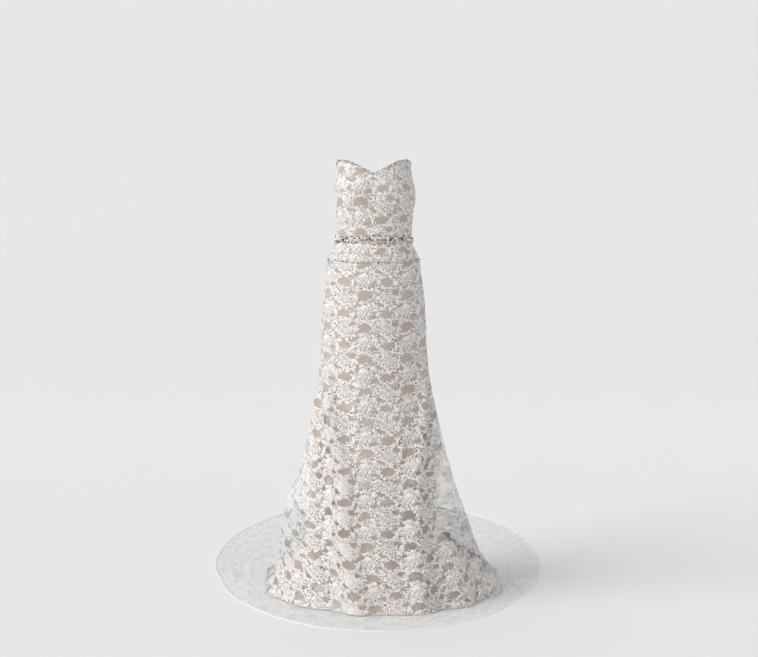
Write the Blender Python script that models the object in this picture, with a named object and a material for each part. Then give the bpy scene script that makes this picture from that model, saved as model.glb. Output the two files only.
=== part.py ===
"""Strapless lace wedding dress with a chapel train, in the hollow form that it has when worn.

Metres, +Z up. The origin is the middle of the waist at the belt, the front faces -Y, and the floor lies
WAIST_HEIGHT below the origin. Angles go round the body from the centre front, positive towards +X.
"""

import math
from collections import namedtuple

import bpy
import numpy as np

# Driving dimensions
WAIST_HEIGHT = 1.147
FLOOR = -WAIST_HEIGHT
SEAM_GAP = 0.0003
LINING_THICKNESS = 0.0010
LACE_THICKNESS = 0.0010
BODICE_THICKNESS = 0.0023
SKIRT_LAYERS = LINING_THICKNESS + SEAM_GAP + LACE_THICKNESS
BELT_HEIGHT = 0.025
BELT_THICKNESS = 0.0030
BELT_STONE_HEIGHT = 0.0022
BELT_MOTIF_HEIGHT = 0.034
BELT_MOTIF_ANGLE = 8.0
BELT_MOTIF_HALF_ANGLE = 10.0
BELT_LEVELS = [1.0, 0.55, 0.0, -0.55, -1.0]
TRIM_THICKNESS = 0.0024
NECK_TRIM_HEIGHT = 0.0065
HEM_TRIM_HEIGHT = 0.0075
EDGING_WIDTH = 0.006
EDGING_THICKNESS = 0.0016
WAIST_SEAM_HEIGHT = -0.066
WAIST_SEAM_FRONT_DIP = 0.004

# The garment's outside, one row for each level: half its width, how far it reaches to the front and the
# back, where along Y it is widest, and how far its middle lies to the viewer's right
Section = namedtuple("Section", "height half_width front back widest shift")
SECTIONS = [
    Section(0.262, 0.1095, -0.090, 0.080, 0.000, 0.000),
    Section(0.217, 0.1134, -0.098, 0.084, 0.000, 0.000),
    Section(0.186, 0.1180, -0.103, 0.086, 0.000, 0.001),
    Section(0.154, 0.1230, -0.106, 0.087, 0.000, 0.003),
    Section(0.123, 0.1236, -0.105, 0.086, 0.000, 0.004),
    Section(0.091, 0.1205, -0.100, 0.084, 0.000, 0.003),
    Section(0.060, 0.1166, -0.094, 0.081, 0.000, 0.003),
    Section(0.028, 0.1150, -0.089, 0.079, 0.000, 0.002),
    Section(0.000, 0.1165, -0.087, 0.079, 0.000, 0.000),
    Section(-0.022, 0.1215, -0.089, 0.083, 0.000, 0.000),
    Section(-0.041, 0.1315, -0.093, 0.090, 0.000, 0.000),
    Section(-0.066, 0.1410, -0.099, 0.099, 0.000, 0.000),
    Section(-0.100, 0.1450, -0.103, 0.108, 0.002, 0.000),
    Section(-0.160, 0.1540, -0.108, 0.121, 0.005, 0.000),
    Section(-0.255, 0.1610, -0.111, 0.131, 0.008, 0.000),
    Section(-0.350, 0.1650, -0.110, 0.131, 0.010, 0.000),
    Section(-0.444, 0.1750, -0.108, 0.134, 0.014, 0.001),
    Section(-0.507, 0.1880, -0.108, 0.142, 0.020, 0.001),
    Section(-0.570, 0.2010, -0.108, 0.156, 0.028, 0.002),
    Section(-0.633, 0.2140, -0.109, 0.178, 0.038, 0.003),
    Section(-0.705, 0.2336, -0.110, 0.210, 0.050, 0.003),
    Section(-0.773, 0.2524, -0.111, 0.245, 0.070, 0.003),
    Section(-0.844, 0.2740, -0.112, 0.290, 0.100, 0.001),
    Section(-0.899, 0.2880, -0.113, 0.335, 0.120, 0.002),
    Section(-0.986, 0.3080, -0.114, 0.410, 0.150, 0.013),
    Section(-1.050, 0.3300, -0.116, 0.475, 0.170, 0.023),
    Section(-1.100, 0.3560, -0.118, 0.545, 0.190, 0.030),
    Section(-1.132, 0.3740, -0.122, 0.620, 0.210, 0.032),
    Section(FLOOR, 0.3900, -0.130, 0.700, 0.230, 0.030),
]
TRAIN_HEM = Section(FLOOR, 0.5740, -0.280, 1.445, 0.580, 0.013)

# Soft folds of the skirt: the level where one starts, its angle at the thigh, at the knee and on the floor,
# its half width as an angle, how far it stands out (a trough has a minus), and its height along the train
Fold = namedtuple("Fold", "start thigh knee floor width depth train")
FOLDS = [
    Fold(-0.36, -65, -32, -16, 7.5, 0.014, 0.004),
    Fold(-0.42, -82, -47, -29, 7.0, -0.010, 0.000),
    Fold(-0.60, -92, -66, -46, 7.0, 0.010, 0.005),
    Fold(-0.70, -104, -92, -68, 8.0, 0.014, 0.008),
    Fold(-0.40, 66, 34, 20, 7.0, 0.013, 0.004),
    Fold(-0.40, 78, 45, 30, 7.0, -0.010, 0.000),
    Fold(-0.60, 84, 62, 42, 7.5, 0.014, 0.004),
    Fold(-0.64, 96, 73, 55, 7.5, -0.007, 0.000),
    Fold(-0.74, 104, 90, 72, 9.0, 0.016, 0.008),
    Fold(-0.45, 122, 118, 110, 9.0, 0.020, 0.010),
    Fold(-0.50, 136, 134, 128, 8.0, -0.012, 0.000),
    Fold(-0.40, 152, 150, 147, 9.0, 0.024, 0.012),
    Fold(-0.46, 166, 165, 164, 7.5, -0.012, 0.000),
    Fold(-0.38, 181, 181, 180, 8.5, 0.024, 0.011),
    Fold(-0.46, -166, -165, -163, 7.5, -0.012, 0.000),
    Fold(-0.42, -151, -149, -146, 9.0, 0.023, 0.013),
    Fold(-0.50, -136, -133, -127, 8.0, -0.012, 0.000),
    Fold(-0.47, -121, -117, -108, 9.0, 0.019, 0.009),
]
THIGH_LEVEL = -0.40
KNEE_LEVEL = -0.72
FOLD_RUN_IN = 0.22
SIDEWAYS_RUN = 0.85

# The lining is cut straighter than the lace: how far inside the lace its sides hang, level by level, the
# share of the folds that it then loses, and how far it stays back from the lace at the front and the back
LINING_LEVELS = [-1.105, -1.04, -0.95, -0.85, -0.75, -0.65, -0.55, -0.45]
LINING_INSETS = [0.0, 0.012, 0.080, 0.072, 0.047, 0.022, 0.004, 0.0]
LINING_FOLD_LOSS = 0.75
LINING_FRONT_EASE = 0.003
LINING_BACK_EASE = 0.015

# The neckline's height above the waist, round from the centre front
NECKLINE_ANGLES = [0, 13, 25, 40, 52, 66, 90, 120, 150, 180]
NECKLINE_HEIGHTS = [0.198, 0.2125, 0.2235, 0.2365, 0.2415, 0.242, 0.234, 0.205, 0.182, 0.174]

# Cups, shaped by the cut of the bodice
CUP_ANGLE = 37.0
CUP_HEIGHT = 0.150
CUP_DEPTH = 0.013
CUP_HALF_ANGLE = 24.0
CUP_HALF_HEIGHT = 0.055
CENTRE_HOLLOW = 0.005
CENTRE_HALF_ANGLE = 12.0

# Bodice panels between their seams, as angles, with the number of columns of faces in each
Panel = namedtuple("Panel", "name start end columns")
PRINCESS_SEAM = 33.0
SIDE_SEAM = 88.0
BACK_SEAM = 138.0
PANELS = [
    Panel("back_left", -180.0, -BACK_SEAM, 5),
    Panel("side_back_left", -BACK_SEAM, -SIDE_SEAM, 6),
    Panel("side_front_left", -SIDE_SEAM, -PRINCESS_SEAM, 7),
    Panel("centre_front", -PRINCESS_SEAM, PRINCESS_SEAM, 10),
    Panel("side_front_right", PRINCESS_SEAM, SIDE_SEAM, 7),
    Panel("side_back_right", SIDE_SEAM, BACK_SEAM, 6),
    Panel("back_right", BACK_SEAM, 180.0, 5),
]
ROWS_ABOVE_BELT = 5
ROWS_BELOW_BELT = 2

# Rings of the skirt: levels above the floor, and shares of the way from the floor's first ring to the hem
SKIRT_LEVELS = [-0.110, -0.170, -0.250, -0.350, -0.450, -0.550, -0.650, -0.750,
                -0.850, -0.950, -1.040, -1.105, -1.135]
FLOOR_SHARES = [0.0, 0.06, 0.18, 0.38, 0.62, 0.84, 1.0]
LINING_HEM_SHARE = 0.06
SKIRT_COLUMNS = 28


def table_value(column, height):
    """A column of SECTIONS at one height, on a smooth curve through the rows."""
    heights = np.array([row.height for row in SECTIONS])[::-1]
    values = np.array([getattr(row, column) for row in SECTIONS])[::-1]
    slopes = np.gradient(values, heights)
    low = int(np.clip(np.searchsorted(heights, height) - 1, 0, len(heights) - 2))
    step = heights[low + 1] - heights[low]
    t = (height - heights[low]) / step
    return (
        (2 * t**3 - 3 * t**2 + 1) * values[low]
        + (t**3 - 2 * t**2 + t) * step * slopes[low]
        + (3 * t**2 - 2 * t**3) * values[low + 1]
        + (t**3 - t**2) * step * slopes[low + 1]
    )


def section_at(height):
    return Section(height, *[table_value(column, height) for column in Section._fields[1:]])


def section_on_floor(share):
    """The section on the floor, a share of the way from where the skirt lands to the train's hem."""
    landing = SECTIONS[-1]
    return Section(*[a + (b - a) * share for a, b in zip(landing, TRAIN_HEM)])


def bump(distance, half_width):
    return math.exp(-((distance / half_width) ** 2))


def smooth_step(t):
    t = min(max(t, 0.0), 1.0)
    return t * t * (3 - 2 * t)


def turn_between(angle, other):
    """The angle from one direction to another, the short way round."""
    return (angle - other + 180.0) % 360.0 - 180.0


def cup_shape(angle, height):
    up = bump(height - CUP_HEIGHT, CUP_HALF_HEIGHT)
    cups = sum(bump(angle - side * CUP_ANGLE, CUP_HALF_ANGLE) for side in (-1, 1))
    return up * (CUP_DEPTH * cups - CENTRE_HOLLOW * bump(angle, CENTRE_HALF_ANGLE))


def fold_shape(angle, height, share):
    """How far the folds stand out sideways, and how high they lie on the floor."""
    out = 0.0
    up = 0.0
    for fold in FOLDS:
        levels = [FLOOR, KNEE_LEVEL, THIGH_LEVEL]
        place = np.interp(height, levels, [fold.floor, fold.knee, fold.thigh])
        near = bump(turn_between(angle, place), fold.width)
        run_in = smooth_step((fold.start - height) / FOLD_RUN_IN)
        out += fold.depth * near * run_in * (1 - share) ** 1.5
        up += fold.train * near * (1 - share) * (1 + smooth_step(share / 0.2)) / 2
    return out, up if height <= FLOOR else 0.0


def inside_point(section, angle, share=0.0, inset=0.0):
    """A point of the garment's inside, and the level direction that points out of it there.

    On the floor the angles swing forwards, so that the cloth runs outwards from where it lands. The
    lining has an inset of its own where it is narrower than the lace.
    """
    turn = math.radians(angle)
    if share > 0:
        backwards = section.widest - SECTIONS[-1].widest
        swing = math.asin(SIDEWAYS_RUN * backwards / (section.widest - section.front))
        turn -= swing * math.sin(turn)
    reach = section.widest - section.front if math.cos(turn) > 0 else section.back - section.widest
    out = np.array([math.sin(turn) * reach, -math.cos(turn) * section.half_width, 0.0])
    out /= np.linalg.norm(out)
    fold_out, fold_up = fold_shape(angle, section.height, share)
    straighter = inset / max(LINING_INSETS)
    fold_out *= 1 - LINING_FOLD_LOSS * straighter
    ease = LINING_FRONT_EASE if math.cos(turn) > 0 else LINING_BACK_EASE
    ease *= straighter * math.cos(turn) ** 2
    move = fold_out + cup_shape(angle, section.height) - SKIRT_LAYERS - ease
    point = np.array(
        [
            section.shift + (section.half_width - inset) * math.sin(turn),
            section.widest - reach * math.cos(turn),
            section.height + fold_up,
        ]
    )
    return point + out * move, out


def principled(name, colour, roughness, metallic=0.0):
    material = bpy.data.materials.new(name)
    material.use_nodes = True
    shader = material.node_tree.nodes["Principled BSDF"]
    shader.inputs["Base Color"].default_value = (*colour, 1.0)
    shader.inputs["Roughness"].default_value = roughness
    shader.inputs["Metallic"].default_value = metallic
    material.diffuse_color = (*colour, 1.0)
    return material


def wall(name, outer, inner, material, collection, ring=False):
    """A closed wall between two grids of points, whose rows run down and whose columns run towards +X.

    Both grids are split along the same diagonals, so a thin wall never crosses itself. With ring set,
    the last column joins the first.
    """
    rows, columns = outer.shape[:2]
    inside = rows * columns
    last = columns if ring else columns - 1
    faces = []

    def add(a, b, c, d):
        faces.extend([(a, b, c), (a, c, d)])

    def at(row, column):
        return row * columns + column % columns

    for row in range(rows - 1):
        for column in range(last):
            a, b = at(row, column), at(row + 1, column)
            c, d = at(row + 1, column + 1), at(row, column + 1)
            add(a, b, c, d)
            faces.extend([(inside + a, inside + c, inside + b), (inside + a, inside + d, inside + c)])
    for column in range(last):
        a, b = at(0, column), at(0, column + 1)
        add(a, b, inside + b, inside + a)
        a, b = at(rows - 1, column), at(rows - 1, column + 1)
        add(inside + a, inside + b, b, a)
    if not ring:
        for row in range(rows - 1):
            a, b = at(row, 0), at(row + 1, 0)
            add(a, inside + a, inside + b, b)
            a, b = at(row, columns - 1), at(row + 1, columns - 1)
            add(inside + b, inside + a, a, b)
    mesh = bpy.data.meshes.new(name)
    points = np.concatenate([outer.reshape(-1, 3), inner.reshape(-1, 3)])
    mesh.from_pydata([tuple(point) for point in points], [], faces)
    mesh.shade_smooth()
    mesh.set_sharp_from_angle(angle=math.radians(50))
    mesh.materials.append(material)
    part = bpy.data.objects.new(name, mesh)
    collection.objects.link(part)
    return part


def waist_seam(angle):
    """The height of the seam between bodice and skirt, a little lower at the centre front."""
    return WAIST_SEAM_HEIGHT - WAIST_SEAM_FRONT_DIP * max(0.0, math.cos(math.radians(angle))) ** 2


def neckline(angle):
    return float(np.interp(abs(angle), NECKLINE_ANGLES, NECKLINE_HEIGHTS))


def bodice_heights(angle):
    """The levels of one column of the bodice, from its neckline down to the waist seam.

    The first two are the edges of the neckline's trim, and the last two are those of the hem's.
    """
    top = neckline(angle)
    low = waist_seam(angle) + SEAM_GAP / 2
    above = np.linspace(top - NECK_TRIM_HEIGHT, BELT_HEIGHT / 2, ROWS_ABOVE_BELT + 1)
    below = np.linspace(-BELT_HEIGHT / 2, low + HEM_TRIM_HEIGHT, ROWS_BELOW_BELT + 1)
    return [top, *above, 0.0, *below, low]


def bodice_column(angle, out):
    """One column of bodice points, moved out of the inside by a distance."""
    points = []
    for height in bodice_heights(angle):
        point, direction = inside_point(section_at(height), angle)
        points.append(point + direction * out)
    return np.array(points)


def panel_angles(panel):
    """The angles of a panel's columns, kept half a seam's gap inside its two seams."""
    radius = min(section_at(0.0).half_width, -section_at(0.0).front)
    margin = math.degrees(SEAM_GAP / 2 / radius)
    return np.linspace(panel.start + margin, panel.end - margin, panel.columns + 1)


def make_bodice(material, collection):
    for panel in PANELS:
        angles = panel_angles(panel)
        outer = np.stack([bodice_column(angle, BODICE_THICKNESS) for angle in angles], axis=1)
        inner = np.stack([bodice_column(angle, 0.0) for angle in angles], axis=1)
        wall("bodice_" + panel.name, outer, inner, material, collection)


def at_height(column, height):
    """The point of a column of points at one height, on the straight lines between them."""
    heights = column[::-1, 2]
    return np.array([np.interp(height, heights, column[::-1, axis]) for axis in range(3)])


def band_angles():
    """The bodice's columns all round, with one column on each seam, and a gap at the centre back."""
    angles = [panel_angles(PANELS[0])[0]]
    for panel in PANELS:
        angles.extend(panel_angles(panel)[1:-1])
        angles.append(panel.end)
    angles[-1] = panel_angles(PANELS[-1])[-1]
    return angles


def make_belt(material, collection):
    """The belt lies on the bodice, its stones stand out on every second column, and its motif is taller."""

    def column(index, angle, inside):
        bodice = bodice_column(angle, BODICE_THICKNESS)
        direction = inside_point(section_at(0.0), angle)[1]
        taller = bump(angle - BELT_MOTIF_ANGLE, BELT_MOTIF_HALF_ANGLE)
        half = (BELT_HEIGHT + (BELT_MOTIF_HEIGHT - BELT_HEIGHT) * taller) / 2
        points = []
        for level in BELT_LEVELS:
            stone = BELT_STONE_HEIGHT if index % 2 and abs(level) < 1 else 0.0
            out = SEAM_GAP if inside else SEAM_GAP + BELT_THICKNESS + stone
            points.append(at_height(bodice, level * half) + direction * out)
        return points

    grids = []
    for inside in (False, True):
        columns = [column(index, angle, inside) for index, angle in enumerate(band_angles())]
        grids.append(np.stack(np.array(columns), axis=1))
    wall("belt", *grids, material, collection)


def make_trims(material, collection):
    """The trims lie on the bodice's first and last rows of faces."""
    for name, rows in (("neckline_trim", [0, 1]), ("bodice_hem_trim", [-2, -1])):
        near = BODICE_THICKNESS + SEAM_GAP
        far = near + TRIM_THICKNESS
        outer = np.stack([bodice_column(angle, far)[rows] for angle in band_angles()], axis=1)
        inner = np.stack([bodice_column(angle, near)[rows] for angle in band_angles()], axis=1)
        wall(name, outer, inner, material, collection)


def unit(vectors):
    return vectors / np.linalg.norm(vectors, axis=-1, keepdims=True)


def directions_out(points):
    """The mean direction out of the faces round each point of a grid, split as in wall()."""
    a, b, c, d = points[:-1, :-1], points[1:, :-1], points[1:, 1:], points[:-1, 1:]
    lower = unit(np.cross(b - a, c - a))
    upper = unit(np.cross(c - a, d - a))
    normals = np.zeros_like(points)
    normals[:-1, :-1] += lower + upper
    normals[1:, 1:] += lower + upper
    normals[1:, :-1] += lower
    normals[:-1, 1:] += upper
    return unit(normals)


def skirt_rings():
    """The skirt's sections from the waist seam to the train's hem, each with its share of the floor."""
    rings = [(section_at(WAIST_SEAM_HEIGHT - SEAM_GAP / 2), 0.0)]
    rings += [(section_at(height), 0.0) for height in SKIRT_LEVELS]
    rings += [(section_on_floor(share), share) for share in FLOOR_SHARES]
    return rings


def skirt_grid(start, end, insets):
    """The skirt's inside from one side seam to the other, and the directions out of it.

    A column beyond each seam takes part in working out the directions, so that both halves of the skirt
    have the same ones along a seam and stay apart there.
    """
    points = []
    for row, ((section, share), inset) in enumerate(zip(skirt_rings(), insets)):
        reach = section.widest - section.front if start < 0 else section.back - section.widest
        margin = math.degrees(SEAM_GAP / 2 / reach)
        step = (end - start) / SKIRT_COLUMNS
        angles = np.linspace(start + margin, end - margin, SKIRT_COLUMNS + 1)
        ring = []
        for angle in [start - step, *angles, end + step]:
            point = inside_point(section, angle, share, inset)[0]
            if row == 0:
                point[2] = waist_seam(angle) - SEAM_GAP / 2
            ring.append(point)
        points.append(ring)
    points = np.array(points)
    normals = directions_out(points)
    normals[0, :, 2] = 0.0
    return points[:, 1:-1], unit(normals)[:, 1:-1]


def make_skirt(side, start, end, lining, lace, collection):
    """One half of the lining, and the same half of the lace over it, which goes on as the train."""
    rings = skirt_rings()
    shares = [share for _, share in rings]
    insets = [float(np.interp(section.height, LINING_LEVELS, LINING_INSETS)) for section, _ in rings]
    hem_row = len(SKIRT_LEVELS) + 1 + FLOOR_SHARES.index(LINING_HEM_SHARE)
    points, normals = skirt_grid(start, end, insets)
    inner = points[: hem_row + 1]
    outer = inner + normals[: hem_row + 1] * LINING_THICKNESS
    wall("lining_" + side, outer, inner, lining, collection)
    points, normals = skirt_grid(start, end, [0.0] * len(rings))
    lift = [LINING_THICKNESS + SEAM_GAP if share <= LINING_HEM_SHARE else 0.0 for share in shares]
    under = points + normals * np.array(lift)[:, None, None]
    over = under + normals * LACE_THICKNESS
    wall("lace_skirt_" + side, over, under, lace, collection)


def make_edging(material, collection):
    """A flat narrow band round the hem of the lace, lying on the floor."""
    near, far = [], []
    for angle in np.linspace(-180.0, 180.0, 2 * SKIRT_COLUMNS, endpoint=False):
        point, direction = inside_point(section_on_floor(1.0), angle, 1.0)
        near.append(point + direction * SEAM_GAP)
        far.append(point + direction * (SEAM_GAP + EDGING_WIDTH))
    low = np.array([near, far])
    high = low + np.array([0.0, 0.0, EDGING_THICKNESS])
    wall("train_edging", high, low, material, collection, ring=True)


def main():
    for old in list(bpy.data.objects):
        bpy.data.objects.remove(old)
    collection = bpy.data.collections.new("wedding_dress")
    bpy.context.scene.collection.children.link(collection)
    lace = principled("white_lace", (0.86, 0.84, 0.82), 0.75)
    lining = principled("champagne_lining", (0.50, 0.43, 0.38), 0.55)
    beading = principled("silver_beading", (0.55, 0.55, 0.57), 0.25, 0.6)
    make_bodice(lace, collection)
    make_belt(beading, collection)
    make_trims(beading, collection)
    make_skirt("front", -90.0, 90.0, lining, lace, collection)
    make_skirt("back", 90.0, 270.0, lining, lace, collection)
    make_edging(lace, collection)


main()
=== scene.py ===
"""Wedding dress of white lace over champagne satin, shown as it hangs when worn.

Metres, +Z up. The origin is the middle of the waist at the belt, and the front faces -Y. Angles go
round the body in degrees from the centre front, positive towards +X.
"""

import math
from collections import namedtuple

import bpy
import numpy as np
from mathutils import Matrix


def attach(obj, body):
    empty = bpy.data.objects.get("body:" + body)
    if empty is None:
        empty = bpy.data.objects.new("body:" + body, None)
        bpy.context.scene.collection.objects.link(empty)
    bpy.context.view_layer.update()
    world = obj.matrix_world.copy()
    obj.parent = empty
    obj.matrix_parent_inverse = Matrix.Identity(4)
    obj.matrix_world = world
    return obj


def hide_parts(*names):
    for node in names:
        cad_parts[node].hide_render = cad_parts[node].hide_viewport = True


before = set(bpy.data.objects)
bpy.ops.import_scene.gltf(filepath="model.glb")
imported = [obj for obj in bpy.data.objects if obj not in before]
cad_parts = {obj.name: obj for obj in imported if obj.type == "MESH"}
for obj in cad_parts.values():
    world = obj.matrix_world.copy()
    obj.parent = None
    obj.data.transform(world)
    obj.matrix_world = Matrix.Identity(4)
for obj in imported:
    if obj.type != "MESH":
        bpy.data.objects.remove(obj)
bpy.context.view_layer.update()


# Satin lining: champagne satin cut as a front and a back, sewn in at the waist seam and hanging
# clear of the legs. It ends where it reaches the floor, with a narrow turned hem.

FLOOR = -1.147
SEAM_GAP = 0.0003
LINING_THICKNESS = 0.0010
LACE_THICKNESS = 0.0010
SKIRT_LAYERS = LINING_THICKNESS + SEAM_GAP + LACE_THICKNESS
WAIST_SEAM = -0.066
WAIST_SEAM_FRONT_DIP = 0.004

SECTIONS = np.array([
    # height, half width, reach to the front and the back, widest place, shift towards +X
    (0.262, 0.1095, -0.090, 0.080, 0.000, 0.000),
    (0.217, 0.1134, -0.098, 0.084, 0.000, 0.000),
    (0.186, 0.1180, -0.103, 0.086, 0.000, 0.001),
    (0.154, 0.1230, -0.106, 0.087, 0.000, 0.003),
    (0.123, 0.1236, -0.105, 0.086, 0.000, 0.004),
    (0.091, 0.1205, -0.100, 0.084, 0.000, 0.003),
    (0.060, 0.1166, -0.094, 0.081, 0.000, 0.003),
    (0.028, 0.1150, -0.089, 0.079, 0.000, 0.002),
    (0.000, 0.1165, -0.087, 0.079, 0.000, 0.000),
    (-0.022, 0.1215, -0.089, 0.083, 0.000, 0.000),
    (-0.041, 0.1315, -0.093, 0.090, 0.000, 0.000),
    (-0.066, 0.1410, -0.099, 0.099, 0.000, 0.000),
    (-0.100, 0.1450, -0.103, 0.108, 0.002, 0.000),
    (-0.160, 0.1540, -0.108, 0.121, 0.005, 0.000),
    (-0.255, 0.1610, -0.111, 0.131, 0.008, 0.000),
    (-0.350, 0.1650, -0.110, 0.131, 0.010, 0.000),
    (-0.444, 0.1750, -0.108, 0.134, 0.014, 0.001),
    (-0.507, 0.1880, -0.108, 0.142, 0.020, 0.001),
    (-0.570, 0.2010, -0.108, 0.156, 0.028, 0.002),
    (-0.633, 0.2140, -0.109, 0.178, 0.038, 0.003),
    (-0.705, 0.2336, -0.110, 0.210, 0.050, 0.003),
    (-0.773, 0.2524, -0.111, 0.245, 0.070, 0.003),
    (-0.844, 0.2740, -0.112, 0.290, 0.100, 0.001),
    (-0.899, 0.2880, -0.113, 0.335, 0.120, 0.002),
    (-0.986, 0.3080, -0.114, 0.410, 0.150, 0.013),
    (-1.050, 0.3300, -0.116, 0.475, 0.170, 0.023),
    (-1.100, 0.3560, -0.118, 0.545, 0.190, 0.030),
    (-1.132, 0.3740, -0.122, 0.620, 0.210, 0.032),
    (FLOOR, 0.3900, -0.130, 0.700, 0.230, 0.030),
])[::-1]
TRAIN_HEM = np.array([FLOOR, 0.5740, -0.280, 1.445, 0.580, 0.013])
SIDEWAYS_RUN = 0.85

# Folds of the skirt: where one starts, its angle at the thigh, the knee and the floor, its half width
# as an angle, how far it stands out, and its height along the train
Fold = namedtuple("Fold", "start thigh knee floor width depth train")
FOLDS = [
    (-0.30, -56, -24, -13, 7.5, 0.017, 0.004),
    (-0.34, -80, -41, -25, 7.5, -0.015, 0.000),
    (-0.60, -92, -66, -46, 7.0, 0.010, 0.005),
    (-0.70, -104, -92, -68, 8.0, 0.014, 0.008),
    (-0.30, 64, 33, 19, 6.5, 0.015, 0.004),
    (-0.30, 77, 45, 30, 6.5, -0.014, 0.000),
    (-0.60, 84, 62, 42, 7.5, 0.014, 0.004),
    (-0.64, 96, 73, 55, 7.5, -0.007, 0.000),
    (-0.74, 104, 90, 72, 9.0, 0.016, 0.008),
    (-0.45, 122, 118, 110, 9.0, 0.020, 0.010),
    (-0.50, 136, 134, 128, 8.0, -0.012, 0.000),
    (-0.40, 152, 150, 147, 9.0, 0.024, 0.012),
    (-0.46, 166, 165, 164, 7.5, -0.012, 0.000),
    (-0.38, 181, 181, 180, 8.5, 0.024, 0.011),
    (-0.46, -166, -165, -163, 7.5, -0.012, 0.000),
    (-0.42, -151, -149, -146, 9.0, 0.023, 0.013),
    (-0.50, -136, -133, -127, 8.0, -0.012, 0.000),
    (-0.47, -121, -117, -108, 9.0, 0.019, 0.009),
]
FOLDS = [Fold(*row) for row in FOLDS]
FOLD_LEVELS = [FLOOR, -0.72, -0.40]
FOLD_RUN_IN = 0.22

# The lining is cut straighter than the lace: how far inside it each side hangs, level by level
INSET_LEVELS = [-1.105, -1.04, -0.95, -0.85, -0.75, -0.65, -0.55, -0.45]
LEFT_INSETS = [0.006, 0.045, 0.088, 0.074, 0.046, 0.021, 0.004, 0.0]
RIGHT_INSETS = [0.028, 0.058, 0.098, 0.082, 0.050, 0.023, 0.004, 0.0]
INSET_FOLD_LOSS = 0.75
FRONT_EASE = 0.003
BACK_EASE = 0.015

# Cups, shaped by the cut of the bodice
CUP_ANGLE = 37.0
CUP_HEIGHT = 0.150
CUP_DEPTH = 0.013
CUP_HALF_ANGLE = 24.0
CUP_HALF_HEIGHT = 0.055
CENTRE_HOLLOW = 0.005
CENTRE_HALF_ANGLE = 12.0

# Small soft creases: angle, height, half width as an angle, half height, slant, and how far out
Crease = namedtuple("Crease", "angle height width reach slant out")
CREASES = [
    (-52, -0.17, 5.0, 0.050, 60, 0.0016),
    (-36, -0.22, 6.0, 0.060, 50, -0.0014),
    (48, -0.16, 5.0, 0.045, -70, 0.0015),
    (33, -0.25, 6.5, 0.070, -45, -0.0015),
    (-12, -0.42, 5.5, 0.110, 12, 0.0018),
    (10, -0.50, 5.0, 0.130, -10, -0.0016),
    (-24, -0.62, 4.5, 0.120, 14, -0.0022),
    (22, -0.66, 4.5, 0.150, -12, 0.0022),
    (4, -0.84, 4.0, 0.160, -6, 0.0024),
    (-8, -1.00, 3.6, 0.110, 8, -0.0026),
    (13, -1.02, 3.4, 0.120, -8, -0.0024),
    (-100, -0.20, 7.0, 0.060, 40, 0.0018),
    (112, -0.23, 7.0, 0.070, -45, -0.0018),
    (140, -0.30, 6.0, 0.120, -18, 0.0022),
    (-138, -0.32, 6.0, 0.110, 20, -0.0022),
    (172, -0.28, 5.5, 0.090, 8, 0.0018),
]
CREASES = [Crease(*row) for row in CREASES]

# Wrinkles of the cloth on the floor: angle, share of the way to the hem, half sizes, slant and rise
Wrinkle = namedtuple("Wrinkle", "angle share width reach slant rise")
WRINKLES = [
    (94, 0.24, 7.0, 0.050, 60, 0.0090),
    (98, 0.36, 9.0, 0.040, -40, 0.0080),
    (104, 0.50, 12.0, 0.035, 60, 0.0070),
    (108, 0.30, 8.0, 0.040, 75, 0.0090),
    (113, 0.42, 9.0, 0.035, -70, 0.0080),
    (119, 0.60, 14.0, 0.035, -50, 0.0060),
    (124, 0.34, 7.0, 0.040, 65, 0.0080),
    (129, 0.48, 9.0, 0.035, 55, 0.0070),
    (134, 0.72, 15.0, 0.035, -40, 0.0050),
    (142, 0.55, 8.0, 0.045, 60, 0.0060),
    (151, 0.76, 10.0, 0.035, -50, 0.0050),
    (163, 0.40, 7.0, 0.060, 30, 0.0065),
    (174, 0.64, 9.0, 0.045, 60, 0.0055),
    (-169, 0.48, 8.0, 0.050, -60, 0.0060),
    (-155, 0.70, 11.0, 0.040, 45, 0.0055),
    (-143, 0.42, 7.0, 0.050, -50, 0.0065),
    (-128, 0.62, 10.0, 0.040, 50, 0.0060),
    (-118, 0.36, 7.0, 0.040, -60, 0.0080),
    (-110, 0.52, 9.0, 0.035, 45, 0.0070),
    (-101, 0.34, 7.0, 0.045, -45, 0.0080),
    (-95, 0.70, 9.0, 0.040, 30, 0.0055),
    (-84, 0.46, 6.0, 0.060, -35, 0.0070),
    (-70, 0.64, 7.0, 0.070, 25, 0.0055),
    (-46, 0.44, 5.0, 0.100, -20, 0.0050),
    (-18, 0.52, 4.0, 0.120, 15, 0.0045),
    (9, 0.40, 4.0, 0.110, -15, 0.0050),
    (31, 0.56, 5.0, 0.100, 20, 0.0045),
    (58, 0.42, 6.0, 0.090, -25, 0.0060),
    (74, 0.64, 6.0, 0.060, 30, 0.0060),
    (84, 0.40, 6.0, 0.050, -30, 0.0080),
]
WRINKLES = [Wrinkle(*row) for row in WRINKLES]
TRAIN_FOLD_RUN_IN = 0.2
HEM_WAVE = 0.0020
HEM_WAVE_COUNTS = [(9, 0.0), (14, 50.0)]
SKIRT_RADIUS = 0.2


def bump(distance, half_width):
    return np.exp(-((distance / half_width) ** 2))


def smooth_step(t):
    t = np.clip(t, 0.0, 1.0)
    return t * t * (3 - 2 * t)


def turn_between(angle, other):
    return (angle - other + 180.0) % 360.0 - 180.0


def near_fold(fold, heights, angles):
    """How near a fold's crest each point lies, and how far the fold has run in."""
    place = np.interp(heights, FOLD_LEVELS, [fold.floor, fold.knee, fold.thigh])
    return bump(turn_between(angles, place), fold.width), smooth_step((fold.start - heights) / FOLD_RUN_IN)


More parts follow.
